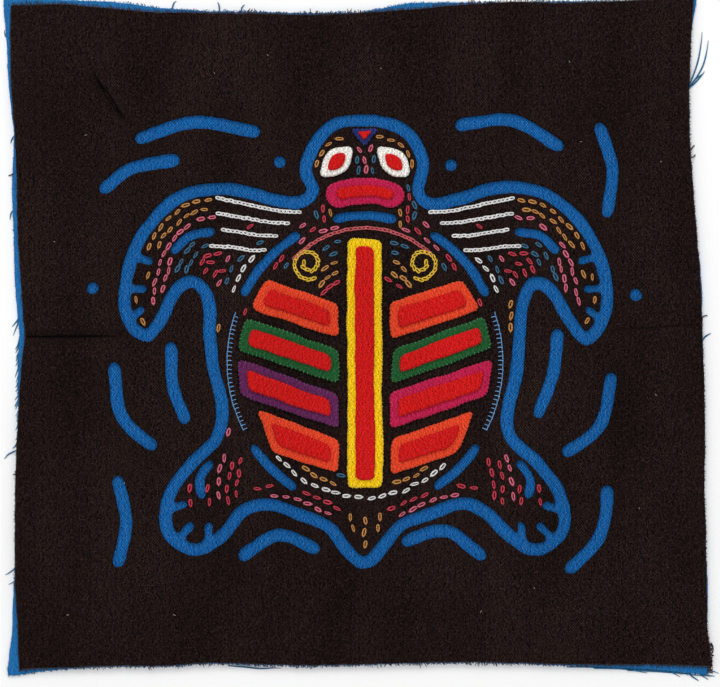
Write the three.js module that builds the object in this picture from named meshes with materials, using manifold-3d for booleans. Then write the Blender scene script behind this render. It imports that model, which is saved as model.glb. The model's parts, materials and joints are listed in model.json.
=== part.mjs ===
// A mola panel lying flat: two layers of cotton cloth with a turtle worked in cut channels and patches.
// Millimetres, +Z up, +Y towards the panel's top edge. The origin is on the back, under the middle.
import * as THREE from "three";
import { mergeVertices } from "three/addons/utils/BufferGeometryUtils.js";
import Module from "manifold-3d";

const wasm = await Module();
wasm.setup();

// Layers
const clothThick = 1;
const layerGap = 0.3;
const layerStep = clothThick + layerGap;
const groundLevel = layerStep;
const patchLevel = 2 * layerStep;
const centreLevel = 3 * layerStep;
const foldedEdge = 0.3;

// Cut channels and patches
const channelWidth = 3.8;
const outlineStep = 3.6;
const patchWidth = 10;
const patchGap = 2.8;
const frameWidth = 2.4;
const patchCorner = 1.8;
const centreCorner = 1.3;
const cutUneven = 0.4;

// Steps round each end, along each stretch of a slot, along an arc and round a dot
const capSteps = 4;
const bendSteps = 3;
const arcSteps = 6;
const dotSteps = 12;

// The cloth's raw edges: how far out from the panel's middle each edge lies, at each place along it.
// Rows go from an edge's left or lower end to its right or upper end.
const groundEdge = [
  { at: -90, top: 99, right: 104, bottom: 100.4, left: 102.7 },
  { at: -75, top: 97.6, right: 103.8, bottom: 99.8, left: 103.6 },
  { at: -60, top: 96.4, right: 103.6, bottom: 99.8, left: 103.7 },
  { at: -45, top: 96.3, right: 103.1, bottom: 98.9, left: 103.5 },
  { at: -30, top: 96.1, right: 103.3, bottom: 99.3, left: 103 },
  { at: -15, top: 95.7, right: 103.1, bottom: 99.7, left: 102.1 },
  { at: 0, top: 96.3, right: 102.5, bottom: 99.3, left: 100.7 },
  { at: 15, top: 97.4, right: 102, bottom: 98.9, left: 101.8 },
  { at: 30, top: 98.7, right: 100.9, bottom: 98.6, left: 102.8 },
  { at: 45, top: 99.7, right: 99.7, bottom: 98.9, left: 103 },
  { at: 60, top: 99.3, right: 98.7, bottom: 99.3, left: 103.6 },
  { at: 75, top: 99.8, right: 98.6, bottom: 99.5, left: 104.8 },
  { at: 90, top: 100.5, right: 99.2, bottom: 99.4, left: 105 },
];
const groundCorner = {
  topLeft: { x: -104.8, y: 98.6 },
  topRight: { x: 99.8, y: 100.8 },
  bottomRight: { x: 104.8, y: -99.8 },
  bottomLeft: { x: -102.3, y: -100.8 },
};

// How far the base cloth, with its loose yarns, shows past the ground cloth, in the same rows. It is
// below 0 where it is hidden.
const baseShows = [
  { at: -90, top: 1.8, right: 0.3, bottom: 0.4, left: 2.5 },
  { at: -75, top: 2.6, right: 0.6, bottom: 0.2, left: 0.6 },
  { at: -60, top: 1.9, right: 0, bottom: 0.2, left: -0.3 },
  { at: -45, top: 1, right: 0, bottom: 0.2, left: -0.3 },
  { at: -30, top: 1, right: 0, bottom: 0.2, left: 0 },
  { at: -15, top: 1.1, right: 0.1, bottom: 0.2, left: 0.9 },
  { at: 0, top: 0.7, right: 0.3, bottom: 0.2, left: 1.9 },
  { at: 15, top: 2.6, right: 0.6, bottom: 0.2, left: 2.1 },
  { at: 30, top: 1.3, right: 0.2, bottom: 0.2, left: 1.5 },
  { at: 45, top: 0.4, right: 0, bottom: 0.2, left: 1.8 },
  { at: 60, top: 1, right: 0, bottom: 0.2, left: 0.5 },
  { at: 75, top: 0.7, right: 0, bottom: 0.2, left: 1 },
  { at: 90, top: 0.2, right: 0, bottom: 1.3, left: 1.5 },
];
const baseCorner = {
  topLeft: { x: -106.4, y: 100.8 },
  topRight: { x: 100, y: 101 },
  bottomRight: { x: 105, y: -101.4 },
  bottomLeft: { x: -106, y: -101.6 },
};

// The turtle's outline, along the middle of the channel round it: the right half from the head's top
// to the tail's tip, about the figure's own middle. Columns: x, y.
const figureMiddle = new THREE.Vector2(1.2, -2.1);
const halfOutline = {
  head: [[0, 66.5], [9, 65], [15.5, 59.5], [17.5, 52], [16, 45.5]],
  frontFlipper: [[19, 41.5], [28, 43], [41, 46.5], [54, 44.5], [65, 35.5], [71.5, 22], [72, 8], [66.5, 1]],
  armpit: [[61, 7], [56, 15.5], [51, 18]],
  side: [[47.5, 12], [46.5, 2], [45.5, -9], [43, -20]],
  hindFlipper: [[43.5, -28], [52, -36.5], [59, -47], [59, -57.5], [51, -62.5], [42.5, -57.5], [36, -51]],
  tail: [[29, -48.5], [20, -51.5], [11, -55], [6.5, -60], [0, -66.5]],
};
const handWobble = 0.7;

// Short slots cut in from the outline's ends, for the toes. Angles are the way each slot runs inwards.
const toeLength = 6;
const toeWidth = 2.6;
const toes = [
  { x: 70.5, y: 26, angle: 196 },
  { x: 72.5, y: 16, angle: 180 },
  { x: 71.5, y: 6, angle: 140 },
  { x: 60, y: -50.5, angle: 165 },
  { x: 56.5, y: -59.5, angle: 133 },
  { x: 47.5, y: -61, angle: 96 },
];

// Slots down the middle of its limbs, mirrored, and slots along the rim of its back
const limbSlots = [
  [[46, 33], [52.5, 32], [57.5, 27.5]],
  [[46.5, -36.5], [49.5, -41], [49, -46]],
];
const slotWidth = 2.8;
const rimOval = { rx: 41, ry: 44, y: -6 };
const rimSlots = [
  { from: 28, to: 60 },
  { from: 120, to: 152 },
  { from: 78, to: 102 },
  { from: -58, to: -36 },
  { from: -144, to: -122 },
];

// Slots in the cloth round the turtle, each along the points of its middle line
const freeSlots = [
  [[-66, 59], [-50, 64], [-32, 61]],
  [[-77, 44], [-69, 50], [-56, 52.5]],
  [[30, 63], [45, 64.5], [59, 57]],
  [[72, 62], [75.5, 50], [74, 37]],
  [[-74, -10], [-72, -24], [-63, -33]],
  [[-57, -4], [-56.5, -15], [-53, -25]],
  [[75, -13], [72, -27], [62, -35]],
  [[59, 0], [57.5, -12], [53.5, -23]],
  [[-35, -66], [-25, -60], [-14, -64]],
  [[14, -62], [25, -58.5], [36, -66]],
  [[-73, -44], [-70.5, -56], [-73, -68]],
  [[74, -47], [72, -60], [63, -70]],
];
const dotDiameter = 4.2;
const dots = [
  { x: -24.5, y: 52 },
  { x: 27, y: 51 },
  { x: 82.5, y: 12 },
  { x: -80.5, y: 14 },
];

// Creases pressed in the ground cloth, as soft troughs between two ends
const creases = [
  { from: { x: -103, y: -0.6 }, to: { x: -74, y: -0.4 }, width: 3, depth: 0.35 },
  { from: { x: 74, y: 1.4 }, to: { x: 100, y: 2.6 }, width: 2.6, depth: 0.25 },
  { from: { x: -80, y: 77.4 }, to: { x: -72, y: 66 }, width: 2.2, depth: 0.35 },
];

// The patches on the turtle's back. Each rib leans up and away from the spine, inside an oval.
const ribOval = { rx: 38.5, ry: 38.5, y: -6 };
const spineEnd = { low: -43.5, high: 31 };
const ribSlope = 0.34;
const ribStart = -39.5;
const ribEndLean = 5;
const ribs = [
  { name: "rib_1", left: "orange", right: "orange" },
  { name: "rib_2", left: "purple", right: "magenta" },
  { name: "rib_3", left: "green", right: "green" },
  { name: "rib_4", left: "orange", right: "orange" },
];

// The patches on the head
const eye = { x: 8.6, y: 54, width: 12.5, height: 7.6, tilt: -42, centre: 0.56 };
const nose = { y: 61, width: 8.5, height: 5.6, centre: 0.5, lift: 0.6 };
const collar = { y: 19.3, radius: 26, halfAngle: 18, width: 7.6, centreWidth: 3.2, shorter: 2 };

// Loose yarn along the base cloth's raw edges
const frayGap = 0.3;
const frayStrip = 0.8;
const frayHeight = 0.6;
const threadHeight = 0.5;
const threadWidth = 0.5;
const threadTaper = 0.5;
const threadSteps = 5;
const yarnScatter = 0.35;
const yarnVary = 0.6;
const yarnLean = 0.9;
const frays = [
  { side: "left", every: 5.2, short: 1.1, seed: 3 },
  { side: "right", every: 6.4, short: 0.8, seed: 7 },
  { side: "top", every: 6.4, short: 0.6, seed: 11 },
  { side: "bottom", every: 6.4, short: 0.6, seed: 13 },
];
// The threads that came off whole: where each leaves the edge, how far out it reaches, how far its tip
// lies along the edge from its root, and how far it bows.
const looseThreads = [
  { side: "left", at: 88, reach: 1.9, along: 2.4, bow: 0.6 },
  { side: "left", at: 37, reach: 1.6, along: -2.4, bow: -0.5 },
  { side: "left", at: -3, reach: 2.6, along: -4.2, bow: 1.6 },
  { side: "left", at: -31.5, reach: 1.8, along: -2.7, bow: 0.4 },
  { side: "left", at: -35, reach: 3.6, along: -2.6, bow: -0.7 },
  { side: "left", at: -68, reach: 2.9, along: -4.4, bow: 0.8 },
  { side: "left", at: -70, reach: 2.2, along: -5.2, bow: 1.5 },
  { side: "right", at: 77, reach: 3.2, along: 14, bow: -1.6 },
  { side: "right", at: 74, reach: 5, along: 12.4, bow: -2.4 },
  { side: "right", at: 70.6, reach: 4.2, along: 5.6, bow: -0.9 },
  { side: "right", at: -2.1, reach: 2.6, along: 2.4, bow: 0.5 },
  { side: "right", at: -84, reach: 2.8, along: -9, bow: 1.2 },
  { side: "top", at: -62, reach: 1.6, along: 3, bow: 0.4 },
  { side: "bottom", at: 20, reach: 1.5, along: 8, bow: 1.2 },
  { side: "bottom", at: 88, reach: 1.4, along: 9, bow: 0.8 },
];

const colours = {
  blue: 0x1c5695,
  black: 0x1e1312,
  red: 0xc61e1e,
  orange: 0xd23e24,
  green: 0x225f32,
  purple: 0x572650,
  magenta: 0xb0203f,
  yellow: 0xe6a815,
  navy: 0x252049,
  white: 0xefebe4,
};

const panel = new THREE.Group();
panel.name = "mola_panel";

function addCloth(name, geometry, colour) {
  const material = new THREE.MeshStandardMaterial({ color: colours[colour], roughness: 0.95, metalness: 0 });
  const mesh = new THREE.Mesh(geometry, material);
  mesh.name = name;
  panel.add(mesh);
}

// A number from -1 to 1 that looks random but is the same each time
function wobble(index, seed) {
  const wave = Math.sin(index * 12.9898 + seed * 78.233) * 43758.5453;
  return 2 * (wave - Math.floor(wave)) - 1;
}

// A flat piece of cloth or yarn with the given outline, from one level up
function slab(outline, level, thick = clothThick, bevel = 0) {
  const geometry = new THREE.ExtrudeGeometry(new THREE.Shape(outline), {
    depth: thick - 2 * bevel,
    bevelEnabled: bevel > 0,
    bevelSegments: 1,
    bevelThickness: bevel,
    bevelSize: bevel,
    bevelOffset: -bevel,
    steps: 1,
  });
  geometry.translate(0, 0, level + bevel);
  return geometry;
}

function toSolid(geometry) {
  const bare = geometry.clone();
  bare.deleteAttribute("normal");
  bare.deleteAttribute("uv");
  const merged = mergeVertices(bare, 0.0001);
  return new wasm.Manifold(new wasm.Mesh({
    numProp: 3,
    vertProperties: new Float32Array(merged.attributes.position.array),
    triVerts: new Uint32Array(merged.index.array),
  }));
}

function toGeometry(solid) {
  const mesh = solid.getMesh();
  const geometry = new THREE.BufferGeometry();
  geometry.setAttribute("position", new THREE.BufferAttribute(mesh.vertProperties, 3));
  geometry.setIndex(new THREE.BufferAttribute(mesh.triVerts, 1));
  return geometry;
}

// A slab with other slabs cut through it or, for troughs, cut into its top
function cutFrom(geometry, cutters) {
  let solid = toSolid(geometry);
  for (const cutter of cutters) {
    solid = solid.subtract(toSolid(cutter));
  }
  return toGeometry(solid);
}

function joined(geometries) {
  let solid = toSolid(geometries[0]);
  for (const geometry of geometries.slice(1)) {
    solid = solid.add(toSolid(geometry));
  }
  return toGeometry(solid);
}

// The point on a side of a cloth, given its place along the side and how far out it is
function sidePoint(side, at, out) {
  if (side === "top") return new THREE.Vector2(at, out);
  if (side === "bottom") return new THREE.Vector2(at, -out);
  if (side === "left") return new THREE.Vector2(-out, at);
  return new THREE.Vector2(out, at);
}

// The ground cloth's edge moved out by what shows of the base cloth, and by a further amount
function edgePast(out) {
  return groundEdge.map((row, index) => {
    const shows = baseShows[index];
    return {
      at: row.at,
      top: row.top + shows.top + out,
      right: row.right + shows.right + out,
      bottom: row.bottom + shows.bottom + out,
      left: row.left + shows.left + out,
    };
  });
}

const frayedEdge = edgePast(0);
const baseEdge = edgePast(-frayStrip - frayGap);

// A whole cloth's outline, anticlockwise from its bottom left corner
function clothOutline(edge, corner) {
  const rising = (side) => edge.map((row) => sidePoint(side, row.at, row[side]));
  const point = (name) => new THREE.Vector2(corner[name].x, corner[name].y);
  return [
    point("bottomLeft"),
    ...rising("bottom"),
    point("bottomRight"),
    ...rising("right"),
    point("topRight"),
    ...rising("top").reverse(),
    point("topLeft"),
    ...rising("left").reverse(),
  ];
}

// How far out a cloth's edge is at a place along a side, between its rows or past the last of them
function edgeDistance(edge, side, at) {
  const passed = edge.filter((row) => row.at < at).length;
  const index = THREE.MathUtils.clamp(passed, 1, edge.length - 1);
  const low = edge[index - 1];
  const high = edge[index];
  const share = (at - low.at) / (high.at - low.at);
  return THREE.MathUtils.lerp(low[side], high[side], share);
}

// The outline of a line of the given width with round ends
function thickLine(points, width) {
  const radius = width / 2;
  const last = points.length - 1;
  const heading = points.map((point, index) => {
    const before = points[Math.max(index - 1, 0)];
    const after = points[Math.min(index + 1, last)];
    return Math.atan2(after.y - before.y, after.x - before.x);
  });
  const beside = (index, turn) => new THREE.Vector2(
    points[index].x + radius * Math.cos(heading[index] + turn),
    points[index].y + radius * Math.sin(heading[index] + turn),
  );
  const outline = points.map((_, index) => beside(index, -Math.PI / 2));
  for (let step = 1; step < capSteps; step += 1) {
    outline.push(beside(last, -Math.PI / 2 + (Math.PI * step) / capSteps));
  }
  for (let index = last; index >= 0; index -= 1) {
    outline.push(beside(index, Math.PI / 2));
  }
  for (let step = 1; step < capSteps; step += 1) {
    outline.push(beside(0, Math.PI / 2 + (Math.PI * step) / capSteps));
  }
  return outline;
}

// A smooth line through a slot's rows
function smoothLine(rows) {
  const curve = new THREE.SplineCurve(rows.map(([x, y]) => new THREE.Vector2(x, y)));
  return curve.getSpacedPoints(bendSteps * (rows.length - 1));
}

// A polygon's corners moved in from its sides by a margin
function insetCorners(corners, margin) {
  return corners.map((corner, index) => {
    const before = corners[(index + corners.length - 1) % corners.length];
    const after = corners[(index + 1) % corners.length];
    const arriving = corner.clone().sub(before).normalize();
    const leaving = after.clone().sub(corner).normalize();
    const inArriving = new THREE.Vector2(-arriving.y, arriving.x);
    const inLeaving = new THREE.Vector2(-leaving.y, leaving.x);
    const along = inArriving.clone().add(inLeaving);
    along.multiplyScalar(margin / (1 + inArriving.dot(inLeaving)));
    return corner.clone().add(along);
  });
}

// A polygon with its corners rounded, given anticlockwise
function rounded(corners, radius) {
  const outline = [];
  corners.forEach((corner, index) => {
    const before = corners[(index + corners.length - 1) % corners.length];
    const after = corners[(index + 1) % corners.length];
    const start = corner.clone().add(before.clone().sub(corner).setLength(radius));
    const end = corner.clone().add(after.clone().sub(corner).setLength(radius));
    const bend = new THREE.QuadraticBezierCurve(start, corner, end);
    outline.push(...bend.getPoints(bendSteps));
  });
  return outline;
}

// A place on the turtle in the panel's frame, on its right half or, with side -1, mirrored on its left
function figurePlace(x, y, side = 1) {
  return new THREE.Vector2(figureMiddle.x + side * x, figureMiddle.y + y);
}

// Two layers of patch, the upper one red and set in from the lower one's edge. Corners go anticlockwise.
function addPatch(name, cutCorners, colour, seed) {
  const corners = cutCorners.map((corner, index) => new THREE.Vector2(
    corner.x + cutUneven * wobble(index, seed),
    corner.y + cutUneven * wobble(index, seed + 1),
  ));
  const lower = rounded(corners, patchCorner);
  const upper = rounded(insetCorners(corners, frameWidth), centreCorner);
  addCloth(`${name}_frame`, slab(lower, patchLevel, clothThick, foldedEdge), colour);
  addCloth(`${name}_centre`, slab(upper, centreLevel, clothThick, foldedEdge), "red");
}

// The middle line of the channel round the turtle, with the small unevenness of hand cutting
function figureLine() {
  const half = Object.values(halfOutline).flat();
  const right = half.map(([x, y]) => figurePlace(x, y));
  const left = half.slice(1, -1).reverse().map(([x, y], index) => {
    const place = figurePlace(x, y, -1);
    place.x += handWobble * wobble(index, 1);
    place.y += handWobble * wobble(index, 2);
    return place;
  });
  const points = [...right, ...left].map((point) => new THREE.Vector3(point.x, point.y, 0));
  const curve = new THREE.CatmullRomCurve3(points, true);
  const count = Math.round(curve.getLength() / outlineStep);
  return curve.getSpacedPoints(count).slice(0, -1);
}

// A closed clockwise line moved out or in from itself
function beside(line, out) {
  return line.map((point, index) => {
    const before = line[(index + line.length - 1) % line.length];
    const after = line[(index + 1) % line.length];
    const along = new THREE.Vector2(after.x - before.x, after.y - before.y).normalize();
    return new THREE.Vector2(point.x - out * along.y, point.y + out * along.x);
  });
}

// A trough's cutter: a long thin wedge with pointed ends, half in the cloth and half above it
function creaseCutter({ from, to, width, depth }) {
  const length = Math.hypot(to.x - from.x, to.y - from.y);
  const wedge = new THREE.OctahedronGeometry(1);
  wedge.scale(length / 2, width / 2, depth);
  wedge.rotateZ(Math.atan2(to.y - from.y, to.x - from.x));
  wedge.translate((from.x + to.x) / 2, (from.y + to.y) / 2, groundLevel + clothThick);
  return wedge;
}

// A cutter that reaches past both faces of the upper cloth
function throughCut(outline) {
  return slab(outline, groundLevel - layerGap / 2, clothThick + layerGap);
}

function freeSlotCutters() {
  const slots = freeSlots.map((rows) => throughCut(thickLine(smoothLine(rows), channelWidth)));
  const round = dots.map(({ x, y }) => {
    const hole = new THREE.EllipseCurve(x, y, dotDiameter / 2, dotDiameter / 2).getPoints(dotSteps);
    return throughCut(hole.slice(0, -1));
  });
  return [...slots, ...round];
}

function toeCutters() {
  return [1, -1].flatMap((side) => toes.map(({ x, y, angle }) => {
    const turn = THREE.MathUtils.degToRad(angle);
    const outer = figurePlace(x, y, side);
    const inner = figurePlace(x + toeLength * Math.cos(turn), y + toeLength * Math.sin(turn), side);
    return throughCut(thickLine([outer, inner], toeWidth));
  }));
}

function limbCutters() {
  return [1, -1].flatMap((side) => limbSlots.map((points) => {
    const placed = points.map(([x, y]) => figurePlace(x, y, side).toArray());
    return throughCut(thickLine(smoothLine(placed), slotWidth));
  }));
}

// Points along part of an oval about the figure's middle line, with angles in degrees
function ovalArc({ rx, ry, y }, from, to) {
  const points = [];
  for (let step = 0; step <= arcSteps; step += 1) {
    const turn = THREE.MathUtils.degToRad(from + ((to - from) * step) / arcSteps);
    points.push(figurePlace(rx * Math.cos(turn), y + ry * Math.sin(turn)));
  }
  return points;
}

function rimCutters() {
  return rimSlots.map(({ from, to }) => throughCut(thickLine(ovalArc(rimOval, from, to), slotWidth)));
}

function addCloths() {
  const base = clothOutline(baseEdge, baseCorner);
  addCloth("base_cloth", slab(base, 0), "blue");

  const line = figureLine();
  const opening = throughCut(beside(line, channelWidth / 2));
  const ground = slab(clothOutline(groundEdge, groundCorner), groundLevel);
  const troughs = creases.map(creaseCutter);
  addCloth("ground_cloth", cutFrom(ground, [opening, ...freeSlotCutters(), ...troughs]), "black");

  const island = slab(beside(line, -channelWidth / 2), groundLevel);
  const slots = [...toeCutters(), ...limbCutters(), ...rimCutters()];
  addCloth("figure_cloth", cutFrom(island, slots), "black");
}

// How far out a line that starts beside the spine and climbs at the ribs' slope leaves the oval
function ribReach(start) {
  const level = start - ribOval.y - ribSlope * (patchWidth / 2 + patchGap);
  const a = 1 / ribOval.rx ** 2 + ribSlope ** 2 / ribOval.ry ** 2;
  const b = (2 * ribSlope * level) / ribOval.ry ** 2;
  const c = level ** 2 / ribOval.ry ** 2 - 1;
  return (-b + Math.sqrt(b * b - 4 * a * c)) / (2 * a);
}

function addBack() {
  const half = patchWidth / 2;
  const spine = [
    figurePlace(-half, spineEnd.low),
    figurePlace(half, spineEnd.low),
    figurePlace(half, spineEnd.high),
    figurePlace(-half, spineEnd.high),
  ];
  addPatch("spine", spine, "yellow", ribs.length);

  const ribHeight = patchWidth * Math.hypot(1, ribSlope);
  const ribPitch = (patchWidth + patchGap) * Math.hypot(1, ribSlope);
  const inner = half + patchGap;
  ribs.forEach((rib, row) => {
    const low = ribStart + row * ribPitch;
    const high = low + ribHeight;
    for (const [side, word] of [[1, "right"], [-1, "left"]]) {
      const lowReach = ribReach(low);
      const highReach = ribReach(high);
      const lowEnd = Math.min(lowReach, highReach + ribEndLean);
      const highEnd = Math.min(highReach, lowReach + ribEndLean);
      const climb = (x) => ribSlope * (x - inner);
      const corners = [
        figurePlace(inner, low, side),
        figurePlace(lowEnd, low + climb(lowEnd), side),
        figurePlace(highEnd, high + climb(highEnd), side),
        figurePlace(inner, high, side),
      ];
      const turned = side === 1 ? corners : corners.reverse();
      addPatch(`${rib.name}_${word}`, turned, rib[word], row + side);
    }
  });
}

// An almond shape about a point, with its long way turned by an angle
function almond(middle, width, height, angle) {
  const half = width / 2;
  const tips = [new THREE.Vector2(half, 0), new THREE.Vector2(-half, 0)];
  const upper = new THREE.QuadraticBezierCurve(tips[0], new THREE.Vector2(0, height), tips[1]);
  const lower = new THREE.QuadraticBezierCurve(tips[1], new THREE.Vector2(0, -height), tips[0]);
  const points = [upper, lower].flatMap((curve) => curve.getPoints(arcSteps).slice(0, -1));
  const origin = new THREE.Vector2(0, 0);
  return points.map((point) => point.rotateAround(origin, angle).add(middle));
}

function addEye(side, word) {
  const middle = figurePlace(eye.x, eye.y, side);
  const angle = side * THREE.MathUtils.degToRad(eye.tilt);
  const white = almond(middle, eye.width, eye.height, angle);
  const red = almond(middle, eye.width * eye.centre, eye.height * eye.centre, angle);
  addCloth(`eye_${word}_white`, slab(white, patchLevel), "white");
  addCloth(`eye_${word}_red`, slab(red, centreLevel), "red");
}

function addNose() {
  const triangle = (share, lift) => [[-1, 1], [0, -1], [1, 1]].map(([x, y]) => figurePlace(
    (x * share * nose.width) / 2,
    nose.y + lift + (y * share * nose.height) / 2,
  ));
  addCloth("nose_navy", slab(rounded(triangle(1, 0), 1), patchLevel), "navy");
  addCloth("nose_red", slab(rounded(triangle(nose.centre, nose.lift), nose.centre), centreLevel), "red");
}

// A curved patch across the neck, along the top of a circle
function addCollar() {
  const { radius, y, halfAngle, width, centreWidth, shorter } = collar;
  const circle = { rx: radius, ry: radius, y };
  const long = ovalArc(circle, 90 - halfAngle, 90 + halfAngle);
  const short = ovalArc(circle, 90 - halfAngle + shorter, 90 + halfAngle - shorter);
  addCloth("collar_magenta", slab(thickLine(long, width), patchLevel), "magenta");
  addCloth("collar_red", slab(thickLine(short, centreWidth), centreLevel), "red");
}

// The outline of one thread that tapers from its root to its tip, bowed to one side
function threadOutline(root, tip, bow, steps) {
  const middle = root.clone().add(tip).multiplyScalar(0.5);
  const across = new THREE.Vector2(root.y - tip.y, tip.x - root.x).normalize();
  const bend = new THREE.QuadraticBezierCurve(root, middle.addScaledVector(across, 2 * bow), tip);
  const points = bend.getPoints(steps);
  const besides = points.slice(0, -1).map((point, index) => {
    const along = points[index + 1].clone().sub(point).normalize();
    const half = (threadWidth / 2) * (1 - (threadTaper * index) / steps);
    const out = new THREE.Vector2(along.y, -along.x).multiplyScalar(half);
    return { right: point.clone().add(out), left: point.clone().sub(out) };
  });
  const back = besides.map(({ left }) => left).reverse();
  return [...besides.map(({ right }) => right), tip, ...back];
}

// The base cloth's outermost yarns on one side, with the threads that come off them
function addFray({ side, every, short, seed }) {
  const edgeAt = (at, out) => sidePoint(side, at, edgeDistance(frayedEdge, side, at) + out);
  const places = frayedEdge.map((row) => row.at);
  const inner = places.map((at) => edgeAt(at, -frayStrip));
  const outer = places.map((at) => edgeAt(at, 0)).reverse();
  const pieces = [slab([...inner, ...outer], 0, frayHeight)];
  const root = -frayStrip / 2;
  const count = Math.floor((places.at(-1) - places[0]) / every);
  for (let index = 1; index < count; index += 1) {
    const at = places[0] + every * (index + yarnScatter * wobble(index, seed));
    const reach = short * (1 + yarnVary * wobble(index, seed + 1));
    const tip = edgeAt(at + yarnLean * wobble(index, seed + 2), reach);
    pieces.push(slab(threadOutline(edgeAt(at, root), tip, 0, 1), 0, threadHeight));
  }
  for (const thread of looseThreads.filter((row) => row.side === side)) {
    const tipOut = edgeDistance(frayedEdge, side, thread.at) + thread.reach;
    const tip = sidePoint(side, thread.at + thread.along, tipOut);
    const outline = threadOutline(edgeAt(thread.at, root), tip, thread.bow, threadSteps);
    pieces.push(slab(outline, 0, threadHeight));
  }
  addCloth(`fray_${side}`, joined(pieces), "blue");
}

addCloths();
addBack();
addEye(1, "right");
addEye(-1, "left");
addNose();
addCollar();
frays.forEach(addFray);

export default panel;
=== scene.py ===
import json
import math
import random

import bmesh
import bpy
import numpy as np
from mathutils import Matrix, Vector, noise
from mathutils.geometry import interpolate_bezier
from mathutils.kdtree import KDTree


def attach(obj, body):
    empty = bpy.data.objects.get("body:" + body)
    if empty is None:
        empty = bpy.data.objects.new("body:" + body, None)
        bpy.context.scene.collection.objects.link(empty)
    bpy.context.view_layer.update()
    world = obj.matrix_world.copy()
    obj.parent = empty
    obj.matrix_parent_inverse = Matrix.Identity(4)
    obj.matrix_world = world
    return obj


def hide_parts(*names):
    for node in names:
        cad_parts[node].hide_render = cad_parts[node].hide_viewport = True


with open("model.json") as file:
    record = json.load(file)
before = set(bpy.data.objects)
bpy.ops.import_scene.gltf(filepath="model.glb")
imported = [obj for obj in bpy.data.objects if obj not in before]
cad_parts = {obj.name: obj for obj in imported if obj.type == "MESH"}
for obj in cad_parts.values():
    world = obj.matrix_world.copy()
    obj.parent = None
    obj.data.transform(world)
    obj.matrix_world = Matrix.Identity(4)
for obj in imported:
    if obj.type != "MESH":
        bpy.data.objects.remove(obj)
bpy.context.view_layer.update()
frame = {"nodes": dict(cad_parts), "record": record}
MM = 0.001

# The table, the light and the camera.
# The panel lies on a plain white table under soft light that comes a little from its top edge, and the
# camera looks straight down on it with a long lens.
def in_scene(name, data):
    """A new object of a mesh, a lamp, a camera or a curve, in the scene."""
    made = bpy.data.objects.new(name, data)
    bpy.context.collection.objects.link(made)
    return made


table_size = 2.0
table_gap = 0.02 * MM
table = bpy.data.meshes.new("table")
sheet_of_table = bmesh.new()
bmesh.ops.create_grid(sheet_of_table, x_segments=1, y_segments=1, size=table_size / 2)
bmesh.ops.translate(sheet_of_table, verts=sheet_of_table.verts, vec=(0, 0, -table_gap))
sheet_of_table.to_mesh(table)
sheet_of_table.free()
table_object = in_scene("table", table)
table_white = bpy.data.materials.new("table_white")
table_white.use_nodes = True
white = table_white.node_tree.nodes["Principled BSDF"].inputs
white["Base Color"].default_value = (0.985, 0.985, 0.985, 1)
white["Roughness"].default_value = 0.9
table.materials.append(table_white)

world = bpy.data.worlds.new("soft_room")
bpy.context.scene.world = world
world.use_nodes = True
glow = world.node_tree.nodes["Background"].inputs
glow["Color"].default_value = (1, 1, 1, 1)
glow["Strength"].default_value = 0.78

lamp_place = Vector((-0.12, 0.75, 0.8))
lamp = bpy.data.lights.new("lamp", "AREA")
lamp.size = 0.5
lamp.energy = 4.3
lamp_object = in_scene("lamp", lamp)
lamp_object.location = lamp_place
lamp_object.rotation_euler = (-lamp_place).to_track_quat("-Z", "Y").to_euler()

view_width = 216 * MM
view_middle = Vector((-0.3 * MM, -2.55 * MM, 2.3 * MM))
camera_height = 0.9
camera = bpy.data.cameras.new("camera")
camera.sensor_width = 36
camera.lens = camera.sensor_width * camera_height / view_width
camera_object = in_scene("camera", camera)
camera_object.location = view_middle + Vector((0, 0, camera_height))
bpy.context.scene.camera = camera_object
bpy.context.scene.view_settings.view_transform = "Standard"


# The base cloth.
# One piece of blue cotton, as large as the panel, with its edges left raw. It shows through every cut
# in the cloth on top and a little past that cloth's edges.
warp_pitch = 0.39 * MM
weft_pitch = 0.48 * MM
blue = (28, 110, 184)


def shown(red, green, blue_part):
    """A colour for a shader from the way it looks, as red, green and blue out of 255."""
    return tuple(((part / 255 + 0.055) / 1.055) ** 2.4 for part in (red, green, blue_part)) + (1,)


def node(tree, kind, *inputs, **settings):
    """A new shader node, with its settings made and its first inputs set or linked in order."""
    made = tree.nodes.new("ShaderNode" + kind)
    for name, value in settings.items():
        setattr(made, name, value)
    for socket, value in zip(made.inputs, inputs):
        if isinstance(value, bpy.types.NodeSocket):
            tree.links.new(value, socket)
        elif value is not None:
            socket.default_value = value
    return made


def sum_of(tree, operation, *values):
    """The output of a Math node."""
    return node(tree, "Math", *values, operation=operation).outputs[0]


def blended(tree, share, first, second):
    """The output of a Mix node for colours, which has its colours in sockets 6 and 7 and out of 2."""
    made = tree.nodes.new("ShaderNodeMix")
    made.data_type = "RGBA"
    for place, value in ((0, share), (6, first), (7, second)):
        if isinstance(value, bpy.types.NodeSocket):
            tree.links.new(value, made.inputs[place])
        else:
            made.inputs[place].default_value = value
    return made.outputs[2]


def group(name, inputs, outputs):
    """An empty shader node group with these named sockets, and its input and output nodes."""
    tree = bpy.data.node_groups.new(name, "ShaderNodeTree")
    for socket, kind in inputs.items():
        tree.interface.new_socket(socket, in_out="INPUT", socket_type="NodeSocket" + kind)
    for socket, kind in outputs.items():
        tree.interface.new_socket(socket, in_out="OUTPUT", socket_type="NodeSocket" + kind)
    return tree, tree.nodes.new("NodeGroupInput"), tree.nodes.new("NodeGroupOutput")


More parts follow.
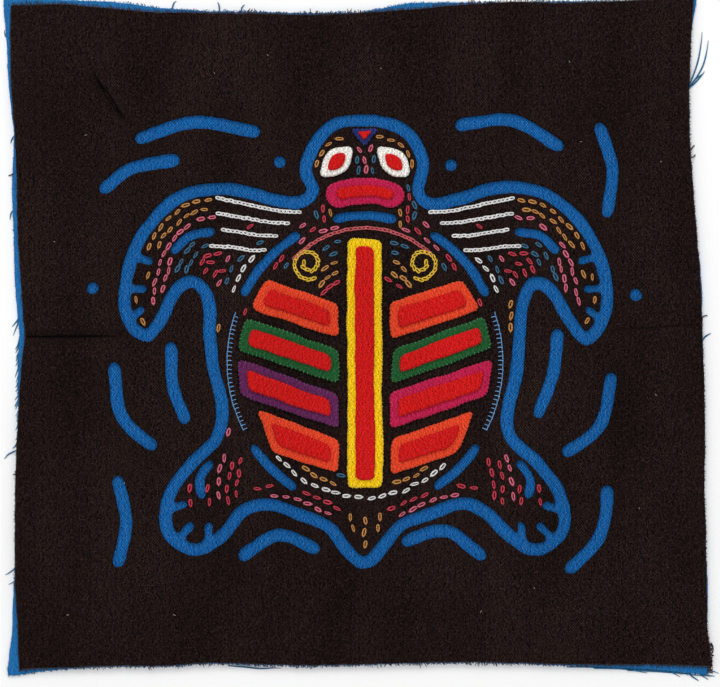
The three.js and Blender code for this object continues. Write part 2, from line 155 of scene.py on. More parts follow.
def plain_weave():
    """The group for plain-weave cotton: one yarn over and one under, each yarn a little different."""
    inputs = {name: "Color" for name in ("Warp", "Weft", "Gap shade", "Lint")}
    inputs.update({"Place": "Vector", "Fleck": "Float", "Tone": "Float", "Uneven": "Float"})
    tree, given, out = group("plain_weave", inputs, {"Colour": "Color", "Height": "Float"})
    place = given.outputs["Place"]
    roundness = 0.6
    waver_size = 130
    waver_reach = 0.25 * MM
    waver = node(tree, "TexNoise", place, None, waver_size, 2).outputs["Color"]
    waver = node(tree, "VectorMath", waver, (0.5, 0.5, 0.5), operation="SUBTRACT").outputs[0]
    waver = node(tree, "VectorMath", waver, (waver_reach,) * 3, operation="MULTIPLY").outputs[0]
    wavered = node(tree, "VectorMath", place, waver, operation="ADD").outputs[0]
    parts = node(tree, "SeparateXYZ", wavered)
    across = sum_of(tree, "DIVIDE", parts.outputs["X"], warp_pitch)
    along = sum_of(tree, "DIVIDE", parts.outputs["Y"], weft_pitch)

    def yarn(over, beside, phase):
        """How high one set of yarns stands, and which yarn it is."""
        number = sum_of(tree, "FLOOR", over)
        turn = sum_of(tree, "MULTIPLY", over, math.pi)
        crown = sum_of(tree, "ABSOLUTE", sum_of(tree, "SINE", turn))
        crown = sum_of(tree, "POWER", crown, roundness)
        wave = sum_of(tree, "MULTIPLY", sum_of(tree, "ADD", beside, number), math.pi)
        wave = sum_of(tree, "MULTIPLY_ADD", sum_of(tree, "SINE", wave), phase * 0.5, 0.5)
        return sum_of(tree, "MULTIPLY", crown, wave), number

    warp_height, warp_number = yarn(across, along, 1)
    weft_height, weft_number = yarn(along, across, -1)
    height = sum_of(tree, "MAXIMUM", warp_height, weft_height)
    warp_shows = sum_of(tree, "GREATER_THAN", warp_height, weft_height)
    colour = blended(tree, warp_shows, given.outputs["Weft"], given.outputs["Warp"])

    def random_of(value):
        """A random number for each value, the same wherever that value comes again."""
        return node(tree, "TexWhiteNoise", value, noise_dimensions="3D").outputs["Value"]

    yarn_differs = random_of(blended(tree, warp_shows, weft_number, warp_number))
    crossing = node(tree, "CombineXYZ", warp_number, weft_number).outputs[0]
    next_crossing = node(tree, "VectorMath", crossing, (1, 0, 0), operation="ADD").outputs[0]
    differs = sum_of(tree, "SUBTRACT", random_of(crossing), random_of(next_crossing))
    yarn_share = 0.3
    of_yarn = sum_of(tree, "MULTIPLY_ADD", yarn_differs, yarn_share, -yarn_share / 2)
    differs = sum_of(tree, "ADD", differs, of_yarn)
    differs = sum_of(tree, "MULTIPLY_ADD", differs, given.outputs["Uneven"], 1)
    tone_stretch = (1, 0.3, 1)
    tone_size = 62
    tone_place = node(tree, "VectorMath", place, tone_stretch, operation="MULTIPLY").outputs[0]
    tone = node(tree, "TexNoise", tone_place, None, tone_size, 0.5).outputs["Fac"]
    tone = sum_of(tree, "MULTIPLY", sum_of(tree, "SUBTRACT", tone, 0.5), given.outputs["Tone"])
    strength = sum_of(tree, "MULTIPLY", differs, sum_of(tree, "ADD", tone, 1))
    colour = node(tree, "VectorMath", colour, None, None, strength, operation="SCALE").outputs[0]

    # Painted shade: down in the gaps between the yarns the colour is darkened towards the colour painted as
    # shade there.
    dip_shape = 0.8
    depth = sum_of(tree, "POWER", height, dip_shape)
    colour = blended(tree, depth, given.outputs["Gap shade"], colour)
    fleck_size = 2600
    fleck_range = (0.52, 0.74)
    fleck = node(tree, "TexNoise", place, None, fleck_size, 2).outputs["Fac"]
    fleck = node(tree, "MapRange", fleck, *fleck_range, 0, given.outputs["Fleck"]).outputs[0]
    fleck = sum_of(tree, "MULTIPLY", fleck, height)
    colour = blended(tree, fleck, colour, given.outputs["Lint"])
    tree.links.new(colour, out.inputs["Colour"])
    fibre_size = 6000
    fibre_share = 0.25
    fibre = node(tree, "TexNoise", place, None, fibre_size, 1).outputs["Fac"]
    tree.links.new(sum_of(tree, "MULTIPLY_ADD", fibre, fibre_share, height), out.inputs["Height"])
    return tree


weave = plain_weave()


def blank_material(name):
    """A new material, its node tree, and the place on the object for its patterns."""
    made = bpy.data.materials.new(name)
    made.use_nodes = True
    return made, made.node_tree, made.node_tree.nodes.new("ShaderNodeTexCoord").outputs["Object"]


def surfaced(tree, colour, height, bump_strength, bump_depth, rough, gloss):
    """Gives a material's surface its colour, its relief and its dullness."""
    surface = tree.nodes["Principled BSDF"].inputs
    bump = node(tree, "Bump")
    bump.inputs["Strength"].default_value = bump_strength
    bump.inputs["Distance"].default_value = bump_depth
    tree.links.new(height, bump.inputs["Height"])
    tree.links.new(colour, surface["Base Color"])
    tree.links.new(bump.outputs["Normal"], surface["Normal"])
    surface["Roughness"].default_value = rough
    surface["Specular IOR Level"].default_value = gloss


def cotton(name, warp, between, lint, fleck, tone, uneven, weft=None, turn=0.0):
    """Matte cotton cloth of a colour, with its yarns turned by an angle in degrees."""
    made, tree, place = blank_material(name)
    place = node(tree, "Mapping", place, None, (0, 0, math.radians(turn))).outputs[0]
    cloth = tree.nodes.new("ShaderNodeGroup")
    cloth.node_tree = weave
    tree.links.new(place, cloth.inputs["Place"])
    warp_colour = shown(*warp)
    cloth.inputs["Warp"].default_value = warp_colour
    cloth.inputs["Weft"].default_value = shown(*(weft or warp))
    # between is the share of the yarn colour that is left in the gaps between the yarns, as painted shade.
    cloth.inputs["Gap shade"].default_value = tuple(part * between for part in warp_colour[:3]) + (1,)
    cloth.inputs["Lint"].default_value = shown(*lint)
    cloth.inputs["Fleck"].default_value = fleck
    cloth.inputs["Tone"].default_value = tone
    cloth.inputs["Uneven"].default_value = uneven
    surfaced(
        tree, cloth.outputs["Colour"], cloth.outputs["Height"],
        bump_strength=0.55, bump_depth=0.11 * MM, rough=0.92, gloss=0.05,
    )
    return made


def cut_lines(name):
    """The closed lines that a cloth node was cut along, the outer one first."""
    solid = bmesh.new()
    solid.from_mesh(frame["nodes"][name].data)
    same_place = 0.01 * MM
    bmesh.ops.remove_doubles(solid, verts=solid.verts, dist=same_place)
    solid.normal_update()
    facing_down = -0.01
    under = {face for face in solid.faces if face.normal.z < facing_down}
    beside = {}
    for edge in solid.edges:
        if sum(face in under for face in edge.link_faces) == 1:
            for here, there in (edge.verts, reversed(edge.verts)):
                beside.setdefault(here, []).append(there)
    lines = []
    while beside:
        line = []
        here = next(iter(beside))
        while here:
            line.append(here.co.xy.copy())
            here = next((there for there in beside.pop(here) if there in beside), None)
        lines.append(line)
    solid.free()
    return sorted(lines, key=lambda line: min(point.x for point in line) - max(point.x for point in line))


def rough_at(x, y, size, layer):
    """A smooth random value between -1 and 1 at a place, which changes over that size."""
    return noise.noise((x / size, y / size, layer))


def raw_line(points, spare):
    """A torn or cut edge in short steps. On the left, right, top and bottom it has its own spare cloth."""
    step = 0.9 * MM
    ragged = 0.16 * MM
    tooth = 3 * MM
    left, right, top, bottom = spare
    dense = []
    for start, end in zip(points, points[1:] + points[:1]):
        pieces = max(1, round((end - start).length / step))
        dense += [start.lerp(end, part / pieces) for part in range(pieces)]
    moved = []
    for point, inside in zip(dense, facing_in(dense)):
        uneven = ragged * rough_at(*point, tooth, 0.5)
        aside = left if inside.x > 0 else right
        above = bottom if inside.y > 0 else top
        moved.append(point + inside * (uneven - aside * inside.x**2 - above * inside.y**2))
    return moved


def drawn_out(line, places):
    """A raw edge whose cloth is drawn aside round a few places. Each has its middle, the way that the
    cloth is drawn and how far round it that reaches, in millimetres."""
    for (x, y), (aside, up), reach in places:
        middle = Vector((x * MM, y * MM))
        by = Vector((aside * MM, up * MM))
        line = [point + by * max(0, 1 - (point - middle).length / (reach * MM)) for point in line]
    return line


def twice_area(line):
    """Twice the area in a closed line, above zero where the line runs anticlockwise."""
    return sum(a.cross(b) for a, b in zip(line, line[1:] + line[:1]))


def inner_side(line, hole=False):
    """On which side of a closed line its cloth lies: 1 for the left and -1 for the right."""
    return 1 if (twice_area(line) > 0) != hole else -1


def facing_in(line, hole=False):
    """At each point of a closed line, the way into its cloth: inwards or, round a hole, outwards."""
    side = inner_side(line, hole)
    ways = []
    for before, after in zip(line[-1:] + line[:-1], line[1:] + line[:1]):
        along = (after - before).normalized() * side
        ways.append(Vector((-along.y, along.x)))
    return ways


def nearest(lines):
    """A tree that finds how far a place is from the nearest of these lines."""
    points = [point for line in lines for point in line]
    tree = KDTree(len(points))
    for index, point in enumerate(points):
        tree.insert(point.to_3d(), index)
    tree.balance()
    return tree


def room_inside(line, ways, tree, reach):
    """For each point of a line, the radius of the largest circle in the cloth that touches it there."""
    least_slope = 0.15
    rooms = []
    for point, way in zip(line, ways):
        room = reach
        for found, _, distance in tree.find_range(point.to_3d(), 2 * reach):
            ahead = (found.xy - point).dot(way)
            if ahead > least_slope * distance:
                room = min(room, distance * distance / (2 * ahead))
        rooms.append(room)
    for _ in range(2):
        rooms = [min(trio) for trio in zip(rooms[-1:] + rooms[:-1], rooms, rooms[1:] + rooms[:1])]
    return [sum(trio) / 3 for trio in zip(rooms[-1:] + rooms[:-1], rooms, rooms[1:] + rooms[:1])]


def laid_out(lines, level, rings):
    """A cloth inside the first closed line and outside the others, rounded over at all its edges. Each
    ring is how far in from the edge it lies and how high it stands over the level of the edge."""
    room_share = 0.75
    cloth = bmesh.new()
    tree = nearest(lines)
    widest = rings[-1][0]
    search = 1.6 * widest
    innermost = []
    for index, line in enumerate(lines):
        ways = facing_in(line, hole=index > 0)
        shares = [min(1, room_share * room / widest) for room in room_inside(line, ways, tree, search)]
        before = [cloth.verts.new((point.x, point.y, level)) for point in line]
        for inward, height in rings:
            loop = []
            for point, way, share in zip(line, ways, shares):
                place = point + way * inward * share
                loop.append(cloth.verts.new((place.x, place.y, level + height)))
            for corners in zip(before, before[1:] + before[:1], loop[1:] + loop[:1], loop):
                cloth.faces.new(corners)
            before = loop
        innermost += [cloth.edges.get(pair) for pair in zip(before, before[1:] + before[:1])]
    bmesh.ops.triangle_fill(cloth, edges=innermost, use_beauty=True, normal=(0, 0, 1))
    return cloth


def closed_below(cloth, depth):
    """Carries a cloth's edge down and closes its underside."""
    foot = [edge for edge in cloth.edges if edge.is_boundary]
    wall = bmesh.ops.extrude_edge_only(cloth, edges=foot)["geom"]
    lower = [part for part in wall if isinstance(part, bmesh.types.BMVert)]
    bmesh.ops.translate(cloth, verts=lower, vec=(0, 0, -depth))
    rim = [part for part in wall if isinstance(part, bmesh.types.BMEdge) and part.is_boundary]
    bmesh.ops.triangle_fill(cloth, edges=rim, use_beauty=True, normal=(0, 0, -1))


cut_slack = 0.0001 * MM


def gridded(cloth, pitch):
    """Cuts a cloth into squares, so that it can be shaped."""
    for axis in (Vector((1, 0, 0)), Vector((0, 1, 0))):
        reach = [corner.co.dot(axis) for corner in cloth.verts]
        for cut in range(math.ceil(min(reach) / pitch), math.ceil(max(reach) / pitch)):
            everything = cloth.verts[:] + cloth.edges[:] + cloth.faces[:]
            bmesh.ops.bisect_plane(
                cloth, geom=everything, dist=cut_slack, plane_co=axis * cut * pitch, plane_no=axis
            )


def placed(name, mesh, material):
    """The object of a finished mesh, which rides on the panel."""
    mesh.materials.append(material)
    mesh.shade_smooth()
    piece = in_scene(name, mesh)
    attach(piece, "root")
    return piece


def finished(name, cloth, material):
    """Makes a cloth's bmesh an object, and lets go of the bmesh."""
    bmesh.ops.recalc_face_normals(cloth, faces=cloth.faces)
    mesh = bpy.data.meshes.new(name)
    cloth.to_mesh(mesh)
    cloth.free()
    return placed(name, mesh, material)


def in_mm(rows):
    """Rows of measures that are given in millimetres."""
    return [tuple(part * MM for part in row) for row in rows]


base_top = 1.0 * MM
base_rings = in_mm([(0.1, 0.14), (0.3, 0.2)])
base_grid = 4 * MM
base_spare = (1.2 * MM, 0.9 * MM, 1.0 * MM, 0.7 * MM)
base_drawn = [((105.7, -101.4), (-1.5, 0), 16), ((76, -100), (0, -0.55), 26), ((-107, -101.4), (0.8, 0), 22)]
blue_cotton = cotton(
    "blue_cotton", blue, between=0.34, lint=(150, 190, 222), fleck=0.2, tone=0.4, uneven=0.8,
    weft=(12, 88, 160),
)


def recoloured(material, share, other):
    """Blends another colour into a material's own, by a share that changes over the surface."""
    tree = material.node_tree
    base_colour = tree.nodes["Principled BSDF"].inputs["Base Color"]
    own = base_colour.links[0].from_socket
    tree.links.new(blended(tree, share, own, shown(*other)), base_colour)


def past_reach(tree, reach, width, most):
    """A share that rises to its most where the cloth lies past this reach from the panel's middle."""
    place = tree.nodes.new("ShaderNodeTexCoord").outputs["Object"]
    apart = node(tree, "VectorMath", place, operation="ABSOLUTE").outputs[0]
    apart = node(tree, "VectorMath", apart, (1 / reach[0], 1 / reach[1], 0), operation="MULTIPLY").outputs[0]
    parts = node(tree, "SeparateXYZ", apart)
    farthest = sum_of(tree, "MAXIMUM", parts.outputs["X"], parts.outputs["Y"])
    return node(tree, "MapRange", farthest, 1, 1 + width, 0, most).outputs[0]


# Past the black cloth's edge the blue is paler, because light comes through its one layer.
margin = past_reach(blue_cotton.node_tree, (98 * MM, 95 * MM), width=0.01, most=0.22)
recoloured(blue_cotton, margin, (58, 146, 198))
base_line = drawn_out(raw_line(cut_lines("base_cloth")[0], base_spare), base_drawn)
base = laid_out([base_line], base_top - base_rings[-1][1], base_rings)
gridded(base, base_grid)
closed_below(base, base_top - base_rings[-1][1])
base_cloth = finished("base_cloth_woven", base, blue_cotton)
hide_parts("base_cloth")


# The ground cloth.
# One piece of black cotton on top. The turtle's channel and the free slots are cut through it, and the
# cut edges are turned under and sewn down. Its own outer edges are left raw.
black = (39, 26, 24)
ground_top = 2.3 * MM
turned_rings = in_mm([(0.05, 0.26), (0.16, 0.46), (0.34, 0.58), (0.6, 0.62)])
turned_height = turned_rings[-1][1]
cloth_foot = 1.06 * MM
cloth_depth = ground_top - turned_height - cloth_foot
cloth_grid = 2 * MM
turned_step = 0.75 * MM
settling_width = 1.5 * MM
hem_width = 2.4 * MM
hem_height = 0.16 * MM
hand_sway = 0.3 * MM
deepest_fold = 1.1 * MM
# Columns: where a crease starts, where it ends, its width and its depth, in millimetres.
creases = [
    ((-103, -0.6), (-73, -0.4), 0.35, 0.8),
    ((74, 1.4), (101, 2.8), 0.4, 0.4),
    ((-80.4, 78.4), (-71.4, 65), 0.5, 1.1),
    ((-104, -0.2), (-66, 0.6), 1.5, 0.35),
    ((-84, 79), (-70, 63), 1.6, 0.34),
    ((-86, -58), (-84, -92), 1.8, 0.12),
    ((84, 70), (86, 30), 2.0, 0.1),
    ((-30, 92), (24, 90), 2.2, 0.1),
    ((-20, -82), (40, -84), 2.2, 0.1),
]

# Blender's vector noise differs from run to run unless it is given a seed.
noise.seed_set(7)


def shift_at(point, size, layer):
    """A smooth random shift at a point, up to about 1 each way, which changes over that size."""
    return noise.noise_vector((point.x / size, point.y / size, layer)).xy


def turned_line(points, step, sway):
    """A cut edge that is turned under by hand: smooth, with rounded corners and a little unevenness."""
    longest_handle = 1.5 * MM
    rounds = 2
    uneven = 0.18 * MM
    uneven_size = 2.6 * MM
    sway_size = 7 * MM

    def heading(before, here, after):
        arriving = here - before
        leaving = after - here
        return (arriving + leaving).normalized()

    line = []
    for index in range(len(points)):
        before, start, end, after = (points[(index + offset) % len(points)] for offset in (-1, 0, 1, 2))
        length = (end - start).length
        handle = min(length / 3, longest_handle)
        pieces = max(1, round(length / step))
        leave = start + handle * heading(before, start, end)
        arrive = end - handle * heading(start, end, after)
        line += interpolate_bezier(start, leave, arrive, end, pieces + 1)[:-1]
    for _ in range(rounds):
        line = [
            (line[index - 1] + 2 * point + line[(index + 1) % len(line)]) / 4
            for index, point in enumerate(line)
        ]
    return [
        point + uneven * shift_at(point, uneven_size, 2.5) + sway * shift_at(point, sway_size, 8.5)
        for point in line
    ]


def lie_of_cloth(x, y):
    """How the cloth rises and falls over its whole width, in soft uneven bands."""
    band_height = 0.16 * MM
    ripple_height = 0.06 * MM
    bands = noise.noise((x / (16 * MM), y / (44 * MM), 7.1))
    ripples = noise.noise((x / (7 * MM), y / (9 * MM), 3.3))
    return band_height * bands + ripple_height * ripples


def lifted(x, y, distance):
    """How the cloth lies at a place, less near a turned edge, where it is sewn down."""
    return lie_of_cloth(x, y) * min(distance / settling_width, 1)


def creased(x, y):
    """How deep the listed creases go at a place."""
    past_end = 0.1
    faded_end = 0.05
    depth = 0
    here = Vector((x, y))
    for first, last, width, deepest in creases:
        start = Vector(first) * MM
        end = Vector(last) * MM
        along = (end - start).normalized()
        share = (here - start).dot(along) / (end - start).length
        if -past_end < share < 1 + past_end:
            off = (here - start).cross(along) / (width * MM)
            inner_share = min(max(share * (1 - 2 * faded_end) + faded_end, 0), 1)
            fade = math.sin(math.pi * inner_share) ** 0.5
            depth += deepest * MM * math.exp(-off * off) * fade
    return depth


def puckered(x, y, distance):
    """The doubled hem along a turned edge stands higher, and its stitches pull small dips in it."""
    dip_depth = 0.09 * MM
    dip_size = 1.3 * MM
    dip_reach = 1.2 * MM
    hem = hem_height * math.exp(-((distance / hem_width) ** 2))
    dips = dip_depth * rough_at(x, y, dip_size, 5.7) * math.exp(-distance / dip_reach)
    return hem - hem_height + dips


def pressed(cloth, edges, crease_all=True):
    """Shapes the upper side of a cloth whose turned edges are in that tree, and marks how deep its creases
    go, for the painted shade in them.
    """
    fold = cloth.verts.layers.float.new("fold")
    for corner in cloth.verts:
        if corner.co.z < ground_top - turned_height * 0.9:
            continue
        x, y = corner.co.xy
        distance = edges.find(Vector((x, y, 0)))[2]
        lift = lifted(x, y, distance)
        if crease_all:
            depth = creased(x, y)
            lift -= depth
            corner[fold] = min(depth / deepest_fold, 1)
        corner.co.z += lift + puckered(x, y, distance)


def cut_near(cloth, crease):
    """Cuts the cloth finely along a crease, so that the crease can be narrow."""
    reach_aside = 4 * MM
    reach_along = 0.58
    first, last, width, _ = crease
    start = Vector(first).to_3d() * MM
    end = Vector(last).to_3d() * MM
    along = (end - start).normalized()
    across = Vector((-along.y, along.x, 0))
    middle = (start + end) / 2
    for share in (-2.2, -1.4, -0.8, -0.35, 0.0, 0.35, 0.8, 1.4, 2.2):
        near = [
            face for face in cloth.faces
            if abs((face.calc_center_median() - middle).dot(across)) < reach_aside
            and abs((face.calc_center_median() - middle).dot(along)) < (end - start).length * reach_along
        ]
        corners = dict.fromkeys(corner for face in near for corner in face.verts)
        edges = dict.fromkeys(edge for face in near for edge in face.edges)
        plane = middle + across * share * width * MM
        bmesh.ops.bisect_plane(
            cloth, geom=[*corners, *edges, *near], dist=cut_slack, plane_co=plane, plane_no=across
        )


# The warp yarns are painted lighter than the weft yarns of the same black, as painted highlight where light
# catches their crowns.
black_cotton = cotton(
    "black_cotton", black, between=0.08, lint=(150, 118, 104), fleck=0.16, tone=1.7, uneven=1.25,
    weft=(18, 10, 10),
)
# Painted shade: the cloth is darkened almost to black along the creases, by how deep they go, as the shade
# that falls in them.
painted_crease_shade = node(black_cotton.node_tree, "Attribute", attribute_name="fold").outputs["Fac"]
recoloured(black_cotton, painted_crease_shade, (4, 2, 2))
ground_lines = cut_lines("ground_cloth")
ground_spare = (0.3 * MM, 0, 0.4 * MM, -0.5 * MM)
ground_drawn = [((104.5, -99.9), (0.8, -0.1), 12)]
ground_raw = drawn_out(raw_line(ground_lines[0], ground_spare), ground_drawn)
ground_turned = [turned_line(line, turned_step, hand_sway) for line in ground_lines[1:]]
ground = laid_out([ground_raw, *ground_turned], ground_top - turned_height, turned_rings)
gridded(ground, cloth_grid)
for narrow in creases[:3]:
    cut_near(ground, narrow)
pressed(ground, nearest(ground_turned))
closed_below(ground, cloth_depth)
ground_cloth = finished("ground_cloth_woven", ground, black_cotton)
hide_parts("ground_cloth")


# The turtle's cloth.
# The black island that the channel leaves standing, turned under all round like the ground cloth. The
# toe slots, limb slots and rim slots are cut in it.
figure_lines = [turned_line(line, turned_step, hand_sway) for line in cut_lines("figure_cloth")]
figure = laid_out(figure_lines, ground_top - turned_height, turned_rings)
gridded(figure, cloth_grid)
figure_edges = nearest(figure_lines)
pressed(figure, figure_edges, crease_all=False)
closed_below(figure, cloth_depth)
figure_cloth = finished("figure_cloth_woven", figure, black_cotton)
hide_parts("figure_cloth")


def figure_level(x, y):
    """How high the turtle's cloth lies at a place."""
    distance = figure_edges.find(Vector((x, y, 0)))[2]
    return ground_top + lifted(x, y, distance) + puckered(x, y, distance)


# The patches on the turtle's back, head and neck.
# Each is a scrap of coloured cotton with its edges turned under, and on most of them lies a smaller red
# one. Both are puffed a little, because the turned edges lie double under them.
# Columns: the colour of the cloth, and that of the thread round it, mostly paler than the cloth as painted
# sheen.
patch_colours = {
    "yellow_cotton": ((255, 208, 22), (250, 216, 90)),
    "orange_cotton": ((234, 70, 39), (236, 110, 66)),
    "green_cotton": ((32, 90, 46), (84, 146, 98)),
    "purple_cotton": ((99, 38, 87), (116, 66, 116)),
    "magenta_cotton": ((193, 30, 76), (206, 62, 102)),
    "navy_cotton": ((38, 48, 108), (58, 72, 144)),
    "white_cotton": ((250, 247, 240), (240, 238, 232)),
    "red_cotton": ((210, 23, 22), (198, 30, 32)),
}
patch_slots = {entry["node"]: entry["material_slot"] for entry in frame["record"]["subparts"]}
patch_rings = in_mm([(0.06, 0.3), (0.2, 0.54), (0.42, 0.7), (0.75, 0.76)])
frame_top = 3.36 * MM
centre_top = 4.3 * MM
patch_depth = 1.2 * MM
patch_step = 0.55 * MM
patch_sway = 0.35 * MM
patch_grid = 1.2 * MM
puff_height = 0.07 * MM
puff_size = 2.5 * MM
patch_piece = {}
patch_line = {}
patch_cotton = {}


def patch_top(name):
    """How high a patch reaches: the red ones lie on the others."""
    return centre_top if name.endswith(("centre", "red")) else frame_top


def patch_cloth(name, slot):
    """A patch's cotton, with its yarns straight, nearly straight, or turned along the rib that it covers."""
    if name.startswith("rib"):
        turn = 19 if "left" in name else -19
    else:
        turn = 0 if name.startswith("spine") else 3
    kind = f"{slot}_{turn}"
    if kind not in patch_cotton:
        colour = patch_colours[slot][0]
        lint = tuple(min(255, round(part * 0.6 + 120)) for part in colour)
        patch_cotton[kind] = cotton(
            kind, colour, between=0.45, lint=lint, fleck=0.18, tone=0.35, uneven=0.65, turn=turn
        )
    return patch_cotton[kind]


def patch(name):
    """One patch, from the outline of its node."""
    top = patch_top(name)
    lines = [turned_line(line, patch_step, patch_sway) for line in cut_lines(name)]
    scrap = laid_out(lines, top - patch_rings[-1][1], patch_rings)
    gridded(scrap, patch_grid)
    seed = sum(ord(letter) for letter in name)
    for corner in scrap.verts:
        if corner.co.z > top - patch_rings[1][1]:
            corner.co.z += puff_height * (rough_at(*corner.co.xy, puff_size, seed) - 1)
    closed_below(scrap, patch_depth - patch_rings[-1][1])
    for corner in scrap.verts:
        corner.co.z += lie_of_cloth(*corner.co.xy)
    slot = patch_slots[name]
    piece = finished(f"{name}_woven", scrap, patch_cloth(name, slot))
    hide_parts(name)
    patch_piece[name] = piece
    patch_line[name] = lines[0]


for name in sorted(patch_slots):
    if name.endswith(("frame", "centre", "white", "red", "navy", "magenta")):
        patch(name)


# The sewing thread, and the whip stitches round the patches.
# A fine twisted thread, a little paler than the cloth as painted sheen, comes up just outside each patch and
# goes over its turned edge every millimetre or so.
def thread(name, colour, gloss=0.2, rough=0.6):
    """Cotton thread of a colour, with paler and darker tufts of fibre."""
    tuft_size = 3200
    made, tree, place = blank_material(name)
    tuft = node(tree, "TexNoise", place, None, tuft_size, 2).outputs["Fac"]
    pale = tuple(min(1, part * 1.5 + 0.03) for part in shown(*colour)[:3]) + (1,)
    dark = tuple(part * 0.45 for part in shown(*colour)[:3]) + (1,)
    share = node(tree, "MapRange", tuft, 0.3, 0.7, 0, 1).outputs[0]
    fibres = blended(tree, share, dark, pale)
    surfaced(tree, fibres, tuft, bump_strength=0.5, bump_depth=0.06 * MM, rough=rough, gloss=gloss)
    return made


def thread_mesh(lines, width, closed=False, sides=1, taper=False):
    """A mesh of threads along lines of points, as round tubes with closed ends."""
    curve = bpy.data.curves.new("thread", "CURVE")
    curve.dimensions = "3D"
    curve.bevel_depth = width / 2
    curve.bevel_resolution = sides
    curve.use_fill_caps = True
    for line in lines:
        spline = curve.splines.new("POLY")
        spline.points.add(len(line) - 1)
        spline.use_cyclic_u = closed
        for index, point in enumerate(line):
            spline.points[index].co = (*point, 1)
            spline.points[index].radius = 1 - 0.6 * index / len(line) if taper else 1
    holder = in_scene("thread", curve)
    mesh = bpy.data.meshes.new_from_object(holder.evaluated_get(bpy.context.evaluated_depsgraph_get()))
    bpy.data.objects.remove(holder)
    bpy.data.curves.remove(curve)
    return mesh


def sewn(name, places, material):
    """One piece of many stitches. Each place is a stitch's mesh and the matrix that sets it there."""
    points = []
    faces = []
    count = 0
    for stitch, place in places:
        corners = np.empty(len(stitch.vertices) * 3)
        stitch.vertices.foreach_get("co", corners)
        corners = corners.reshape(-1, 3)
        turned = np.array(place)
        points.append(corners @ turned[:3, :3].T + turned[:3, 3])
        faces += [[count + corner for corner in face.vertices] for face in stitch.polygons]
        count += len(corners)
    mesh = bpy.data.meshes.new(name)
    mesh.from_pydata(np.concatenate(points), [], faces)
    return placed(name, mesh, material)


def spaced(line, gap, closed=False):
    """Places along a line every gap, each with the line's direction there."""
    points = line + line[:1] if closed else line
    places = []
    travelled = gap / 2
    for start, end in zip(points, points[1:]):
        length = (end - start).length
        while travelled < length:
            places.append((start.lerp(end, travelled / length), (end - start) / length))
            travelled += gap
        travelled -= length
    return places


def set_at(point, level, direction, size, tilt):
    """The matrix that sets a stitch at a point, with its length along a direction."""
    turn = math.atan2(direction.y, direction.x) + tilt
    return (
        Matrix.Translation((point.x, point.y, level))
        @ Matrix.Rotation(turn, 4, "Z")
        @ Matrix.Scale(size, 4)
    )


chance = random.Random(11)
whip_gap = 1.25 * MM
whip_width = 0.19 * MM
whip_profile = [(-0.1, -0.9), (-0.04, -0.5), (0.1, -0.22), (0.3, -0.02), (0.5, -0.04)]
whip_stitch = thread_mesh([in_mm((x, 0.3 * x, z) for x, z in whip_profile)], whip_width)
for slot, (_, colour) in patch_colours.items():
    places = []
    for name, line in patch_line.items():
        if patch_slots[name] != slot:
            continue
        inward = inner_side(line) * math.pi / 2
        gap = whip_gap * (1.3 if slot == "red_cotton" else 1)
        for point, along in spaced(line, gap, closed=True):
            tilt = inward + chance.uniform(-0.5, 0.5)
            level = patch_top(name) + lie_of_cloth(*point)
            places.append((whip_stitch, set_at(point, level, along, chance.uniform(0.7, 1.1), tilt)))
    stitches = sewn(f"whip_stitches_{slot.split('_')[0]}", places, thread(f"{slot}_thread", colour))


# The hem stitches.
# Black thread holds the turned edges of the channel and the slots down, in short stitches that almost
# disappear in the cloth.
hem_gap = 2.3 * MM
hem_thread = 0.16 * MM
hem_profile = [(-0.03, -0.9), (-0.02, -0.5), (0.12, -0.16), (0.36, -0.03), (0.6, -0.06)]
hem_stitch = thread_mesh([in_mm((x, 0, z) for x, z in hem_profile)], hem_thread)
black_thread = thread("black_thread", (22, 15, 15), gloss=0.05)
places = []
for line in [*ground_turned, *figure_lines]:
    inward = inner_side(line, hole=line is not figure_lines[0]) * math.pi / 2
    for point, along in spaced(line, hem_gap, closed=True):
        tilt = inward + chance.uniform(-0.3, 0.3)
        places.append((hem_stitch, set_at(point, ground_top, along, chance.uniform(0.9, 1.1), tilt)))
hem_stitches = sewn("hem_stitches", places, black_thread)


# The chain-stitch lines.
# Linked loops of soft thread: four white lines across each shoulder, a dusty pink arch over the back, and
# a yellow curl on each side of the spine.
figure_middle = Vector((1.2 * MM, -2.1 * MM))
floss_width = 0.42 * MM
link_gap = 1.28 * MM


def loop_line(length, width):
    """The closed outline of a chain stitch, pointed at its start and round at its end."""
    steps = 11
    pointed = 0.6
    rise = 0.12 * MM
    line = []
    for step in range(steps):
        turn = 2 * math.pi * step / steps
        across = 0.5 * width * math.copysign(abs(math.sin(turn)) ** pointed, math.sin(turn))
        line.append((length * (0.5 - 0.5 * math.cos(turn)), across, rise * math.sin(turn / 2)))
    return line


def on_figure(rows, side=1):
    """Points of the turtle in the panel's frame, from rows of millimetres about its middle."""
    return [figure_middle + Vector((side * x, y)) * MM for x, y in rows]


def bowed(points):
    """A smooth open line through a few points, in short steps."""
    step = 0.5 * MM
    line = []
    ends = [points[0] * 2 - points[1], *points, points[-1] * 2 - points[-2]]
    for before, start, end, after in zip(ends, ends[1:], ends[2:], ends[3:]):
        pieces = max(2, round((end - start).length / step))
        leave = start + (end - before) / 6
        arrive = end - (after - start) / 6
        line += interpolate_bezier(start, leave, arrive, end, pieces + 1)[:-1]
    return line + [points[-1]]


def oval(rx, ry, start, end):
    """Points along part of an oval round the middle of the turtle's back."""
    steps = 14
    back_middle = -6
    turns = [math.radians(start + (end - start) * step / steps) for step in range(steps + 1)]
    return [(rx * math.cos(turn), back_middle + ry * math.sin(turn)) for turn in turns]


def curl(x, y, size):
    """Points of a curl that winds inwards."""
    turns = 1.35
    first_turn = -2.2
    narrowing = 0.74
    steps = 16
    points = []
    for step in range(steps + 1):
        turn = 2 * math.pi * turns * step / steps + first_turn
        radius = size * (1 - narrowing * step / steps)
        points.append((x + radius * math.cos(turn), y + radius * math.sin(turn)))
    return points


